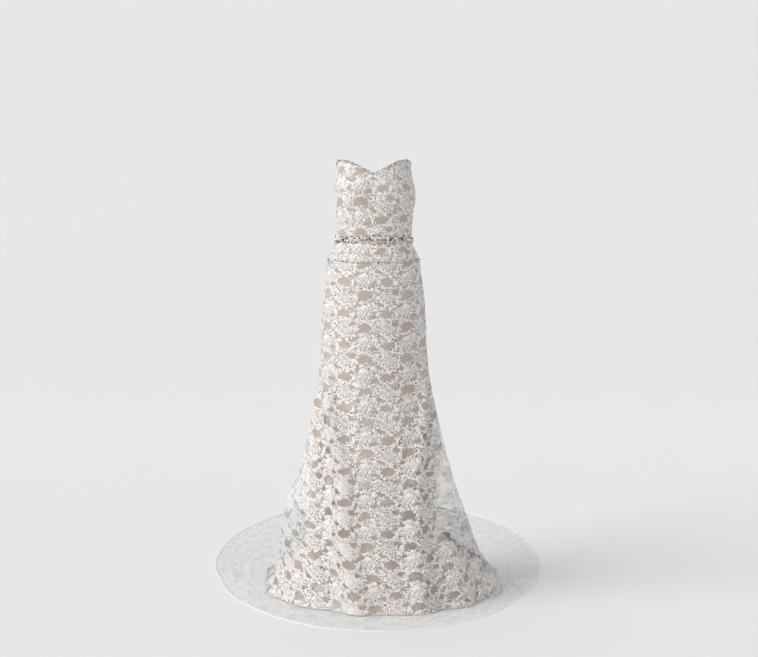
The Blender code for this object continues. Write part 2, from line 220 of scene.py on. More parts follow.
def sections_at(heights):
    """The columns of SECTIONS at several heights, on smooth curves through the rows."""
    table_heights = SECTIONS[:, 0]
    slopes = np.gradient(SECTIONS, table_heights, axis=0)
    low = np.clip(np.searchsorted(table_heights, heights) - 1, 0, len(table_heights) - 2)
    step = (table_heights[low + 1] - table_heights[low])[:, None]
    t = (np.asarray(heights) - table_heights[low])[:, None] / step
    return (
        (2 * t**3 - 3 * t**2 + 1) * SECTIONS[low]
        + (t**3 - 2 * t**2 + t) * step * slopes[low]
        + (3 * t**2 - 2 * t**3) * SECTIONS[low + 1]
        + (t**3 - t**2) * step * slopes[low + 1]
    )


def inset_at(heights, angles):
    """How far inside the lace the lining's sides hang."""
    towards_right = smooth_step(0.5 + np.sin(np.radians(angles)) / 2)
    left = np.interp(heights, INSET_LEVELS, LEFT_INSETS)
    return left + (np.interp(heights, INSET_LEVELS, RIGHT_INSETS) - left) * towards_right


def garment(heights, angles, shares=None, lining=False):
    """Points of the garment's inside, and the level directions out of it.

    heights and angles are grids of the same shape. Past the landing a row lies on the floor, a share
    of the way to the train's hem, and its angles swing forwards. The lining hangs inside the lace.
    """
    rows = sections_at(heights[:, 0])
    shares = np.zeros(len(rows)) if shares is None else np.asarray(shares)
    rows = np.where(shares[:, None] > 0, SECTIONS[0] + (TRAIN_HEM - SECTIONS[0]) * shares[:, None], rows)
    if np.ptp(heights, axis=1).max() > 1e-9:
        values = sections_at(heights.ravel()).reshape(*heights.shape, 6)
    else:
        values = np.broadcast_to(rows[:, None, :], (*heights.shape, 6))
    _, half_width, front, back, widest, shift = np.moveaxis(values, -1, 0)
    share = np.broadcast_to(shares[:, None], heights.shape)
    turn = np.radians(angles)
    inset = inset_at(heights, angles) if lining else np.zeros(heights.shape)
    straighter = inset / max(RIGHT_INSETS)
    swing = np.arcsin(SIDEWAYS_RUN * np.clip((widest - SECTIONS[0, 4]) / (widest - front), 0, 1))
    turn = np.where(share > 0, turn - swing * np.sin(turn), turn)
    reach = np.where(np.cos(turn) > 0, widest - front, back - widest)
    out = np.stack([np.sin(turn) * reach, -np.cos(turn) * half_width, np.zeros_like(turn)], axis=-1)
    out /= np.linalg.norm(out, axis=-1, keepdims=True)
    move = np.full(heights.shape, -SKIRT_LAYERS)
    up = np.zeros(heights.shape)
    for fold in FOLDS:
        near, run_in = near_fold(fold, heights, angles)
        move += fold.depth * near * run_in * (1 - share) ** 1.5 * (1 - INSET_FOLD_LOSS * straighter)
        up += fold.train * near * (1 - share) * (1 + smooth_step(share / TRAIN_FOLD_RUN_IN)) / 2
    move -= np.where(np.cos(turn) > 0, FRONT_EASE, BACK_EASE) * straighter * np.cos(turn) ** 2
    for count, start in HEM_WAVE_COUNTS:
        move += HEM_WAVE * share**2 * np.sin(np.radians(angles * count + start))
    for wrinkle in WRINKLES:
        across = turn_between(angles, wrinkle.angle) - wrinkle.slant * (share - wrinkle.share)
        near = bump(across, wrinkle.width) * bump(share - wrinkle.share, wrinkle.reach)
        up += wrinkle.rise * near * np.where(share > 0, 1.0, 0.0)
    over_bust = bump(heights - CUP_HEIGHT, CUP_HALF_HEIGHT)
    for side in (-1, 1):
        move += CUP_DEPTH * over_bust * bump(angles - side * CUP_ANGLE, CUP_HALF_ANGLE)
    move -= CENTRE_HOLLOW * over_bust * bump(angles, CENTRE_HALF_ANGLE)
    for crease in CREASES:
        across = turn_between(angles, crease.angle) - crease.slant * (heights - crease.height)
        away = bump(across, crease.width) * bump(heights - crease.height, crease.reach)
        move += crease.out * away * np.where(share > 0, 0.0, 1.0)
    on_floor = heights <= FLOOR + 1e-6
    points = np.stack(
        [
            shift + (half_width - inset) * np.sin(turn),
            widest - reach * np.cos(turn),
            heights + np.where(on_floor, up, 0.0),
        ],
        axis=-1,
    )
    return points + out * move[..., None], out


def unit(vectors):
    return vectors / np.linalg.norm(vectors, axis=-1, keepdims=True)


def directions_out(points):
    """The mean direction out of the faces round each point of a grid."""
    down = np.gradient(points, axis=0)
    along = np.gradient(points, axis=1)
    return unit(np.cross(down, along))


def waist_seam(angles):
    return WAIST_SEAM - WAIST_SEAM_FRONT_DIP * np.clip(np.cos(np.radians(angles)), 0, 1) ** 2


def skirt_rows(levels, floor_rows, hem_share):
    """Heights from the waist seam to the floor, finest where it lands, then shares of the train."""
    t = np.linspace(0, 1, levels)
    heights = WAIST_SEAM - SEAM_GAP / 2 + (FLOOR - WAIST_SEAM) * np.sin(t * np.pi / 2) ** 0.9
    heights[-1] = FLOOR
    shares = np.concatenate([np.zeros(levels), np.linspace(0, hem_share, floor_rows + 1)[1:]])
    return np.concatenate([heights, np.full(floor_rows, FLOOR)]), shares


def skirt_grid(start, end, columns, heights, shares, lining=False):
    """The skirt's inside between its side seams, the directions out of it, and its angles."""
    margin = math.degrees(SEAM_GAP / 2 / SKIRT_RADIUS)
    angles = np.linspace(start + margin, end - margin, columns + 1)
    step = (end - start) / columns
    angles = np.concatenate([[start - step], angles, [end + step]])
    height_grid = np.repeat(heights[:, None], len(angles), axis=1)
    angle_grid = np.repeat(angles[None, :], len(heights), axis=0)
    points, _ = garment(height_grid, angle_grid, shares, lining)
    points[0, :, 2] = waist_seam(angles) - SEAM_GAP / 2
    normals = directions_out(points)
    return points[:, 1:-1], normals[:, 1:-1], angles[1:-1]


def cut_of(points, centre_column):
    """Where each point of a grid lies on the cloth before it was sewn: metres along and down."""
    across = np.linalg.norm(np.diff(points, axis=1), axis=-1)
    along = np.concatenate([np.zeros((len(points), 1)), np.cumsum(across, axis=1)], axis=1)
    along -= along[:, centre_column][:, None]
    drop = np.linalg.norm(np.diff(points, axis=0), axis=-1)
    down = np.concatenate([np.zeros((1, points.shape[1])), np.cumsum(drop, axis=0)], axis=0)
    return np.stack([along, -down], axis=-1)


def flat_size(cut, points):
    """The flat piece's width and length, and its area."""
    a, b, c, d = points[:-1, :-1], points[1:, :-1], points[1:, 1:], points[:-1, 1:]
    area = 0.5 * np.linalg.norm(np.cross(c - a, d - b), axis=-1).sum()
    width, length = np.ptp(cut[..., 0]), np.ptp(cut[..., 1])
    return (float(width), float(length)), float(np.clip(area, 0.301 * width * length, width * length))


def in_scene(name, data):
    piece = bpy.data.objects.new(name, data)
    bpy.context.scene.collection.objects.link(piece)
    return piece


def mesh_piece(name, points, faces, cuts, material):
    """A mesh object with its cut as a UV map, smooth but for its edges."""
    mesh = bpy.data.meshes.new(name)
    mesh.from_pydata(points.tolist(), [], faces.tolist())
    layer = mesh.uv_layers.new(name="cut")
    loops = np.zeros(len(mesh.loops), dtype=np.int32)
    mesh.loops.foreach_get("vertex_index", loops)
    layer.data.foreach_set("uv", cuts[loops].astype(np.float32).ravel())
    mesh.shade_smooth()
    mesh.set_sharp_from_angle(angle=math.radians(50))
    mesh.materials.append(material)
    return in_scene(name, mesh)


def grid_faces(rows, columns, ring=False):
    """Quads of a grid whose rows run down and whose columns run towards +X, facing out."""
    last = columns if ring else columns - 1
    row, column = np.meshgrid(np.arange(rows - 1), np.arange(last), indexing="ij")
    right = (column + 1) % columns
    above, below = row * columns, (row + 1) * columns
    return np.stack([above + column, below + column, below + right, above + right], axis=-1).reshape(-1, 4)


def cloth(name, outer, inner, cut, material, ring=False, underside=None):
    """A thin closed sheet between two grids of points, with an underside of its own if it has one."""
    rows, columns = outer.shape[:2]
    count = rows * columns
    front = grid_faces(rows, columns, ring)
    faces = [front, front[:, ::-1] + count]
    last = columns if ring else columns - 1
    column = np.arange(last)
    right = (column + 1) % columns
    low = (rows - 1) * columns
    faces.append(np.stack([column, right, count + right, count + column], axis=-1))
    faces.append(np.stack([count + low + column, count + low + right, low + right, low + column], axis=-1))
    if not ring:
        row = np.arange(rows - 1) * columns
        below = row + columns
        faces.append(np.stack([row, count + row, count + below, below], axis=-1))
        row, below = row + columns - 1, below + columns - 1
        faces.append(np.stack([below, row, count + row, count + below], axis=-1))
    points = np.concatenate([outer.reshape(-1, 3), inner.reshape(-1, 3)])
    cuts = np.concatenate([cut.reshape(-1, 2), cut.reshape(-1, 2)])
    piece = mesh_piece(name, points, np.concatenate(faces), cuts, material)
    if underside is not None:
        piece.data.materials.append(underside)
        slots = np.zeros(len(piece.data.polygons), dtype=np.int32)
        slots[len(front) : 2 * len(front)] = 1
        piece.data.polygons.foreach_set("material_index", slots)
    return piece


class Value:
    """A socket of a shader's node tree that can be added, multiplied and so on."""

    def __init__(self, tree, socket):
        self.tree = tree
        self.socket = socket

    def node(self, kind, output=0, inputs=(), **settings):
        """Any node, with this socket's tree: inputs is a dictionary of sockets and values."""
        made = self.tree.nodes.new(kind)
        for name, value in settings.items():
            setattr(made, name, value)
        for name, value in dict(inputs).items():
            if isinstance(value, Value):
                self.tree.links.new(value.socket, made.inputs[name])
            else:
                made.inputs[name].default_value = value
        return Value(self.tree, made.outputs[output])

    def maths(self, operation, *others):
        values = dict(enumerate((self, *others)))
        return self.node("ShaderNodeMath", inputs=values, operation=operation)

    def __add__(self, other):
        return self.maths("ADD", other)

    def __sub__(self, other):
        return self.maths("SUBTRACT", other)

    def __mul__(self, other):
        return self.maths("MULTIPLY", other)

    def __truediv__(self, other):
        return self.maths("DIVIDE", other)

    def __radd__(self, other):
        return self.maths("ADD", other)

    def __rmul__(self, other):
        return self.maths("MULTIPLY", other)

    def __rsub__(self, other):
        return self.node("ShaderNodeMath", inputs={0: other, 1: self}, operation="SUBTRACT")

    def ramp(self, low, high, to_low=0.0, to_high=1.0):
        """A smooth rise from to_low at low to to_high at high."""
        limits = {"Value": self, "From Min": low, "From Max": high, "To Min": to_low, "To Max": to_high}
        return self.node("ShaderNodeMapRange", inputs=limits, interpolation_type="SMOOTHSTEP")


def new_material(name, base, roughness, **sockets):
    """A Principled material, its shader, and its cut coordinates in metres as u and v."""
    material = bpy.data.materials.new(name)
    material.use_nodes = True
    tree = material.node_tree
    shader = tree.nodes["Principled BSDF"]
    shader.inputs["Base Color"].default_value = (*base, 1.0)
    shader.inputs["Roughness"].default_value = roughness
    for socket, value in sockets.items():
        shader.inputs[socket.replace("_", " ")].default_value = value
    cut = Value(tree, tree.nodes.new("ShaderNodeUVMap").outputs[0])
    cut.socket.node.uv_map = "cut"
    return material, shader, cut


def mix_colours(factor, first, second):
    return factor.node(
        "ShaderNodeMix",
        output=2,
        inputs={0: factor, 6: (*first, 1.0), 7: (*second, 1.0)},
        data_type="RGBA",
    )


def feed(value, shader, socket):
    value.tree.links.new(value.socket, shader.inputs[socket])


def bumped(height, strength, distance):
    inputs = {"Strength": strength, "Distance": distance, "Height": height}
    return height.node("ShaderNodeBump", inputs=inputs)


def noise(cut, scale, detail, output=0):
    inputs = {"Vector": cut, "Scale": scale, "Detail": detail}
    return cut.node("ShaderNodeTexNoise", output=output, inputs=inputs)


def parts_of(vector):
    """The first two numbers of a vector."""
    return [vector.node("ShaderNodeSeparateXYZ", output=axis, inputs={0: vector}) for axis in (0, 1)]


CHAMPAGNE = (0.47, 0.365, 0.295)
CHAMPAGNE_DEEP = (0.40, 0.30, 0.235)
LINING_COLUMNS = 110
LINING_LEVELS = 90
LINING_HEM_SHARE = 0.06
SLUBS_A_METRE = (240.0, 2600.0, 1.0)

satin, satin_shader, cut = new_material(
    "champagne_satin", CHAMPAGNE, 0.42, Sheen_Weight=0.35, Sheen_Roughness=0.4
)
cloudy = noise(cut, 9.0, 3.0)
feed(mix_colours(cloudy.ramp(0.35, 0.65), CHAMPAGNE_DEEP, CHAMPAGNE), satin_shader, "Base Color")
slubs = cut.node("ShaderNodeMapping", inputs={"Vector": cut, "Scale": SLUBS_A_METRE})
weave = noise(slubs, 1.0, 2.0)
feed(bumped(weave, 0.25, 0.0003), satin_shader, "Normal")
feed(weave.ramp(0.3, 0.7, 0.36, 0.52), satin_shader, "Roughness")

heights, shares = skirt_rows(LINING_LEVELS, 3, LINING_HEM_SHARE)
for side, start, end in (("front", -90.0, 90.0), ("back", 90.0, 270.0)):
    inner, normals, angles = skirt_grid(start, end, LINING_COLUMNS, heights, shares, lining=True)
    outer = inner + normals * LINING_THICKNESS
    cut_map = cut_of(outer, LINING_COLUMNS // 2)
    lining = cloth("satin_lining_" + side, outer, inner, cut_map, satin)
    flat, area = flat_size(cut_map, outer)
    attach(lining, "root")
    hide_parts("lining_" + side)


# Lace of the skirt and train: a white net worked all over, cut as a front and a back with the chapel
# train in one with it, sewn in over the lining. Beyond the lining it lies on the floor.

REPEAT = (0.134, 0.0965)
SKIRT_PHASE = (0.041, 0.0355)
NET_OVALS = [(0.0, 0.0), (-0.067, -0.041)]
NET_OVAL_SIZE = (0.0220, 0.0165)
NET_GAPS = [(0.025, -0.031), (-0.024, 0.031), (0.040, 0.027), (-0.043, -0.007)]
NET_GAP_SIZE = (0.0120, 0.0092)
NET_PINHOLES = [(-0.047, 0.039), (0.039, -0.011), (-0.027, -0.024), (0.024, 0.016), (0.052, 0.044)]
NET_PINHOLE_SIZE = (0.0078, 0.0062)
NET_SLOPE = 0.5774
NET_THREADS_A_METRE = 520.0
RINGS_A_METRE = 165.0
NET_WOBBLE = (0.020, 0.018, 0.0)
NET_UNEVENNESS = 1.5
THREAD_WHITE = (0.90, 0.857, 0.828)
# Where nothing lies behind the lace: its thread painted lighter, and grey painted shade for its plain net
SHEER_THREAD_PAINTED_LIGHTER = (0.98, 0.97, 0.96)
SHEER_NET_PAINTED_SHADE = (0.63, 0.63, 0.60)
# Painted shadow, dark brown, for the holes of the worked lace over the lining
HOLE_PAINTED_SHADOW = (0.20, 0.16, 0.135)
# How far the painted highlight along the first fold's ridge lowers the backing
FOLD_RIDGE_PAINTED_HIGHLIGHT = 0.55
SHEER_BESIDE = 0.78
SHEER_RUN_IN = 0.010
LACE_COLUMNS = {"front": 140, "back": 220}
LACE_LEVELS = 100
TRAIN_ROWS = {"front": 30, "back": 56}
LACE_SETTLES = 0.03


def plain_net(cut, phase):
    """One in the ovals and small gaps where the net is left plain, and zero in the worked ground."""
    moved = noise(cut, 110.0, 2.0, output=1)
    for operation, other in (("SUBTRACT", (0.5, 0.5, 0.5)), ("MULTIPLY", NET_WOBBLE), ("ADD", cut)):
        moved = cut.node("ShaderNodeVectorMath", inputs={0: moved, 1: other}, operation=operation)
    u, v = parts_of(moved)
    uneven = (noise(cut, 17.0, 0.0) - 0.5) * NET_UNEVENNESS
    plain = None
    sizes = ((NET_OVALS, NET_OVAL_SIZE), (NET_GAPS, NET_GAP_SIZE), (NET_PINHOLES, NET_PINHOLE_SIZE))
    for centres, size in sizes:
        for x, y in centres:
            along = (u / REPEAT[0] + (0.5 - (x + phase[0]) / REPEAT[0])).maths("FRACT") - 0.5
            down = (v / REPEAT[1] + (0.5 - (y + phase[1]) / REPEAT[1])).maths("FRACT") - 0.5
            across, high = along * (REPEAT[0] / size[0]), down * (REPEAT[1] / size[1])
            high = high.maths("ABSOLUTE") * (high.maths("LESS_THAN", 0.0) * 0.7 + 1.0)
            oval = (across * across + high.maths("POWER", 1.3) + uneven).ramp(0.82, 1.15, 1.0, 0.0)
            plain = oval if plain is None else plain.maths("MAXIMUM", oval)
    return plain


def rings(cut, scale):
    """How near the edge of its small cell each point lies."""
    inputs = {"Vector": cut, "Scale": scale}
    return cut.node("ShaderNodeTexVoronoi", inputs=inputs, feature="DISTANCE_TO_EDGE")


def openwork(cut):
    """Little rings of thread with holes between them."""
    return rings(cut, RINGS_A_METRE).ramp(0.10, 0.19, 1.0, 0.0)


def fine_net(cut):
    """A net of crossed threads."""
    u, v = parts_of(cut)
    lines = []
    for slope in (-NET_SLOPE, NET_SLOPE):
        line = ((u + v * slope) * NET_THREADS_A_METRE).maths("FRACT") - 0.5
        lines.append(line.maths("ABSOLUTE").ramp(0.12, 0.22, 1.0, 0.0))
    return lines[0].maths("MAXIMUM", lines[1])


def thread_colour(thread, plain, backed):
    """White thread over the lining with painted shadow in its holes; where nothing lies behind, thread
    painted lighter, with grey painted shade in its plain net.
    """
    over_lining = mix_colours(thread, HOLE_PAINTED_SHADOW, THREAD_WHITE)
    sheer = mix_colours(plain, SHEER_THREAD_PAINTED_LIGHTER, SHEER_NET_PAINTED_SHADE)
    inputs = {0: backed.ramp(0.4, 0.9), 6: sheer, 7: over_lining}
    return backed.node("ShaderNodeMix", output=2, inputs=inputs, data_type="RGBA")


def covered(thread, backed):
    """How much the worked ground covers: its thread, and its small gaps, which over the lining are half
    filled with painted shadow and off the lining are clear.
    """
    return thread * backed.ramp(0.0, 0.22, 0.23, 0.50) + backed.ramp(0.12, 1.0, 0.01, 0.52)


def lace_material(name):
    material, shader, cut = new_material(name, THREAD_WHITE, 0.75, Sheen_Weight=0.3, Sheen_Roughness=0.5)
    plain = plain_net(cut, SKIRT_PHASE)
    work, net = openwork(cut), fine_net(cut)
    backed = cut.node("ShaderNodeAttribute", output=2, attribute_name="backed")
    denser = noise(cut, 24.0, 1.0).ramp(0.48, 0.72, 0.0, 0.24)
    over_net = net * (backed * 0.12 + 0.22) + denser * backed
    # Over the lining the holes hold painted shadow; where nothing lies behind, the thread is painted
    # lighter and its plain net grey as painted shade
    feed(plain * over_net + (1.0 - plain) * covered(work, backed), shader, "Alpha")
    feed(thread_colour(work.maths("MAXIMUM", plain), plain, backed), shader, "Base Color")
    feed(bumped(work * (1.0 - plain) + net * 0.4, 0.6, 0.0005), shader, "Normal")
    return material


def backing(angles, heights, shares):
    """One where the lining lies close behind the lace, less past its sides, and zero on the floor.

    Along the first fold the lace stands a little off the lining, and there the value is lowered further as
    a painted highlight, so the ridge shows whiter.
    """
    half_width = sections_at(heights)[:, 1][:, None]
    past = half_width * np.abs(np.sin(np.radians(angles))) - half_width
    past += inset_at(heights[:, None], angles[None, :])
    near, run_in = near_fold(FOLDS[0], heights[:, None], angles[None, :] + 3.0)
    # Painted highlight: the lace shows whiter and less shaded along the first fold's ridge
    off = FOLD_RIDGE_PAINTED_HIGHLIGHT * np.clip(1.5 * near, 0, 1) * run_in
    beside = 1 - SHEER_BESIDE * smooth_step(past / SHEER_RUN_IN)
    return beside * (1 - smooth_step(shares / LINING_HEM_SHARE))[:, None] * (1 - off)


def give_values(mesh, name, values):
    """A number for each point of a mesh, for its material."""
    attribute = mesh.attributes.new(name, "FLOAT", "POINT")
    attribute.data.foreach_set("value", values.astype(np.float32))


lace = lace_material("white_lace")
lace_under, _, _ = new_material("white_lace_underside", SHEER_THREAD_PAINTED_LIGHTER, 0.8, Alpha=0.05)
lace_hosts = {}
for side, start, end in (("front", -90.0, 90.0), ("back", 90.0, 270.0)):
    columns = LACE_COLUMNS[side]
    heights, shares = skirt_rows(LACE_LEVELS, TRAIN_ROWS[side], 1.0)
    points, normals, angles = skirt_grid(start, end, columns, heights, shares)
    past_lining = smooth_step((shares - LINING_HEM_SHARE) / LACE_SETTLES)
    lift = (LINING_THICKNESS + SEAM_GAP) * (1 - past_lining)
    inner = points + normals * lift[:, None, None]
    outer = inner + normals * LACE_THICKNESS
    cut_map = cut_of(outer, columns // 2)
    piece = cloth("lace_skirt_" + side + "_cloth", outer, inner, cut_map, lace, underside=lace_under)
    backed = backing(angles, heights, shares).ravel()
    give_values(piece.data, "backed", np.concatenate([backed, backed]))
    flat, area = flat_size(cut_map, outer)
    lace_hosts[side] = (outer, cut_map, backed)
    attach(piece, "root")
    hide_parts("lace_skirt_" + side)
    "lining_" + side


# Bodice: seven boned panels of lace on satin, joined by princess, side and back seams, with shaped
# cups and a sweetheart neckline. Its seams lie in shallow grooves.

BODICE_THICKNESS = 0.0023
BODICE_RADIUS = 0.09
PRINCESS_SEAM = 33.0
SIDE_SEAM = 88.0
BACK_SEAM = 138.0
PANELS = {
    "back_left": (-180.0, -BACK_SEAM, 24),
    "side_back_left": (-BACK_SEAM, -SIDE_SEAM, 26),
    "side_front_left": (-SIDE_SEAM, -PRINCESS_SEAM, 30),
    "centre_front": (-PRINCESS_SEAM, PRINCESS_SEAM, 44),
    "side_front_right": (PRINCESS_SEAM, SIDE_SEAM, 30),
    "side_back_right": (SIDE_SEAM, BACK_SEAM, 26),
    "back_right": (BACK_SEAM, 180.0, 24),
}
NECKLINE_ANGLES = [0, 13, 25, 40, 52, 66, 90, 120, 150, 180]
NECKLINE_HEIGHTS = [0.198, 0.2125, 0.2235, 0.2365, 0.2415, 0.242, 0.234, 0.205, 0.182, 0.174]
BODICE_ROWS = 60
SEAM_GROOVE = 0.0009
SEAM_GROOVE_WIDTH = 1.6
BODICE_PHASE = (0.022, -0.048)
PANEL_SHIFT = 0.181
# The bodice's satin between the threads: its champagne, darkened with painted shade
BODICE_SATIN_PAINTED_SHADE = (0.26, 0.20, 0.155)


def neckline(angles):
    return np.interp(np.abs(angles), NECKLINE_ANGLES, NECKLINE_HEIGHTS)


def bodice_grid(angles, out):
    """Bodice points moved out of the inside, from its neckline down to the waist seam."""
    top, low = neckline(angles), waist_seam(angles) + SEAM_GAP / 2
    heights = top + (low - top) * np.linspace(0, 1, BODICE_ROWS + 1)[:, None]
    points, directions = garment(heights, np.repeat(angles[None, :], BODICE_ROWS + 1, axis=0))
    return points + directions * np.broadcast_to(out, heights.shape)[..., None]


bodice_lace, bodice_shader, cut = new_material("lace_on_satin", THREAD_WHITE, 0.7, Sheen_Weight=0.3)
plain = plain_net(cut, BODICE_PHASE)
work, net = openwork(cut), fine_net(cut)
thread = plain * (net * 0.30 + 0.12) + (1.0 - plain) * (work * 0.97)
# Between the threads the satin shows in painted shade, darker than the lining's champagne
feed(mix_colours(thread, BODICE_SATIN_PAINTED_SHADE, THREAD_WHITE), bodice_shader, "Base Color")
feed(bumped(work * (1.0 - plain) + net * 0.3, 0.6, 0.0005), bodice_shader, "Normal")

bodice_hosts = []
for number, (name, (start, end, columns)) in enumerate(PANELS.items()):
    margin = math.degrees(SEAM_GAP / 2 / BODICE_RADIUS)
    angles = np.linspace(start + margin, end - margin, columns + 1)
    from_seam = np.minimum(angles - start, end - angles)
    groove = SEAM_GROOVE * bump(from_seam, SEAM_GROOVE_WIDTH)
    outer = bodice_grid(angles, BODICE_THICKNESS - groove[None, :])
    inner = bodice_grid(angles, 0.0)
    cut_map = cut_of(outer, (columns + 1) // 2)
    from_middle = PANEL_SHIFT * (number - len(PANELS) // 2)
    cut_map += np.stack([np.full_like(angles, from_middle), neckline(angles) - neckline(0)], axis=-1)
    piece = cloth("bodice_lace_" + name, outer, inner, cut_map, bodice_lace, underside=satin)
    flat, area = flat_size(cut_map, outer)
    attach(piece, "root")
    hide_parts("bodice_" + name)
    bodice_hosts.append((outer, cut_map, np.ones(outer.shape[0] * outer.shape[1])))


# Worked flowers: raised blooms, leaves and florets of white thread, stitched on the lace of the skirt,
# the train and the bodice in one repeat, and cut off at the seams as cloth is.

BLOOMS = [
    # x, y, half width, half height, outer petals, inner petals, turn
    (0.0000, 0.0480, 0.0255, 0.0215, 7, 6, 12.0),
    (-0.0670, 0.0070, 0.0250, 0.0210, 6, 5, -20.0),
]
LEAVES = [
    # x, y, turn, length, width
    (0.0290, -0.0020, 82, 0.024, 0.0085),
    (-0.0280, 0.0050, 100, 0.022, 0.0080),
    (0.0095, -0.0165, 14, 0.022, 0.0075),
    (-0.0125, -0.0165, 166, 0.020, 0.0075),
    (-0.0140, 0.0175, 150, 0.019, 0.0070),
    (0.0350, 0.0510, 78, 0.024, 0.0085),
    (-0.0365, 0.0520, 98, 0.024, 0.0085),
    (-0.0580, -0.0610, 172, 0.022, 0.0075),
    (-0.0800, -0.0600, 12, 0.020, 0.0075),
    (-0.0560, -0.0225, 160, 0.018, 0.0065),
    (-0.0810, -0.0230, 20, 0.018, 0.0065),
]
FLORETS = [
    # x, y, radius
    (0.0075, 0.0195, 0.0058),
    (-0.0385, 0.0270, 0.0060),
    (0.0425, -0.0140, 0.0060),
    (-0.0440, -0.0620, 0.0058),
    (0.0385, -0.0440, 0.0060),
    (-0.0300, -0.0235, 0.0052),
    (-0.1000, -0.0640, 0.0058),
    (-0.0685, -0.0205, 0.0048),
    (-0.0260, 0.0710, 0.0050),
    (0.0440, 0.0740, 0.0056),
]
PETAL_PROFILE = [
    # place across, height, how much of it is cord and not openwork
    (-1.00, 0.00, 1.0),
    (-0.84, 0.70, 1.0),
    (-0.46, 0.12, 0.0),
    (0.00, 0.42, 0.9),
    (0.46, 0.12, 0.0),
    (0.84, 0.70, 1.0),
    (1.00, 0.00, 1.0),
]
LEAF_PROFILE = [(-1.0, 0.0, 1.0), (-0.66, 0.6, 1.0), (0.0, 0.1, 0.0), (0.66, 0.6, 1.0), (1.0, 0.0, 1.0)]
FLORET_PROFILE = [(-1.0, 0.0, 0.8), (0.0, 0.6, 1.0), (1.0, 0.0, 0.8)]
RELIEF = 0.0011
PETAL_RING = 0.0062
INNER_RING = 0.0018
INNER_PETAL = (0.0098, 0.0086)
MIDDLE_PETAL = (0.0030, 0.0055)
ON_LACE = 0.0001
STITCHES_A_METRE = 520.0


def blade(parts, foot, turn, length, width, rows, profile, lift, widest=1.0, fullness=0.7, squeeze=1.0):
    """A petal or leaf from its foot outwards, as a low ribbed relief, added to lists of grids."""
    t = np.linspace(0.0, 1.0, rows + 1)[:, None]
    across, raised, cord = np.array(profile).T
    half = width / 2 * np.sin(np.pi * np.clip(t, 0.02, 0.98) ** widest) ** fullness
    along = length * (t + 0.07 * (1 - across[None, :] ** 2) * t**4)
    side = half * across[None, :]
    turn = math.radians(turn)
    x = foot[0] + along * math.cos(turn) - side * math.sin(turn)
    y = foot[1] + (along * math.sin(turn) + side * math.cos(turn)) * squeeze
    z = lift + RELIEF * raised[None, :] * np.sin(np.pi * np.clip(t, 0.0, 1.0)) ** 0.5
    corded = np.maximum(cord[None, :], smooth_step((t - 0.74) / 0.16))
    parts.append(np.stack([x, y, np.broadcast_to(z, x.shape), np.broadcast_to(corded, x.shape)], axis=-1))


def away(x, y, turn, distance, squeeze=1.0):
    """The place at a distance from another, in a direction in degrees."""
    turn = math.radians(turn)
    return x + distance * math.cos(turn), y + distance * squeeze * math.sin(turn)


def repeat_parts():
    """Every grid of one repeat of the flowers."""
    parts = []
    for x, y, half_width, half_height, outer, inner, start in BLOOMS:
        squeeze = half_height / half_width
        for number in range(outer):
            turn = start + 360.0 * number / outer
            foot = away(x, y, turn, PETAL_RING, squeeze)
            length = half_width - PETAL_RING
            width = 2 * half_width * math.sin(math.pi / outer) * 0.98
            blade(parts, foot, turn, length, width, 4, PETAL_PROFILE, ON_LACE, 1.75, 0.62, squeeze)
        for number in range(inner):
            turn = start + 25.0 + 360.0 * number / inner
            foot = away(x, y, turn, INNER_RING)
            blade(parts, foot, turn, *INNER_PETAL, 3, LEAF_PROFILE, 0.0006, 1.3, 0.6, squeeze)
        for turn in (0.0, 180.0):
            blade(parts, (x, y), start + turn, *MIDDLE_PETAL, 2, FLORET_PROFILE, 0.0010, 0.8, 0.5)
    for x, y, turn, length, width in LEAVES:
        foot = away(x, y, turn, -length / 2)
        blade(parts, foot, turn, length, width, 4, LEAF_PROFILE, ON_LACE)
    for number, (x, y, radius) in enumerate(FLORETS):
        for petal in range(5):
            turn = 72.0 * petal + 31.0 * number
            blade(parts, (x, y), turn, radius, radius * 1.05, 2, FLORET_PROFILE, 0.0002, 1.5, 0.6)
    return parts


flower_thread, flower_shader, cut = new_material("flower_thread", THREAD_WHITE, 0.62, Sheen_Weight=0.4)
corded = cut.node("ShaderNodeAttribute", output=2, attribute_name="cord")
work = openwork(cut)
solid = corded.ramp(0.55, 0.95) * 0.8
thread = solid.maths("MAXIMUM", work)
backed = cut.node("ShaderNodeAttribute", output=2, attribute_name="backed")
# Over the lining the flowers' holes hold painted shadow; where nothing lies behind, the thread is painted
# lighter
feed(covered(thread, backed), flower_shader, "Alpha")
feed(thread_colour(thread, thread * 0.0, backed), flower_shader, "Base Color")
stitches = rings(cut, STITCHES_A_METRE)
feed(bumped(stitches.ramp(0.0, 0.3) + work, 0.5, 0.0004), flower_shader, "Normal")


def joined(grids):
    """Several grids of points as one list of points and one of faces."""
    points, faces, offset = [], [], 0
    for grid in grids:
        faces.append(grid_faces(*grid.shape[:2]) + offset)
        points.append(grid.reshape(-1, grid.shape[2]))
        offset += grid.shape[0] * grid.shape[1]
    return np.concatenate(points), np.concatenate(faces)


points, faces = joined(repeat_parts())
motif = mesh_piece("one_repeat", points[:, :3], faces, points[:, :2], flower_thread)
give_values(motif.data, "cord", points[:, 3])


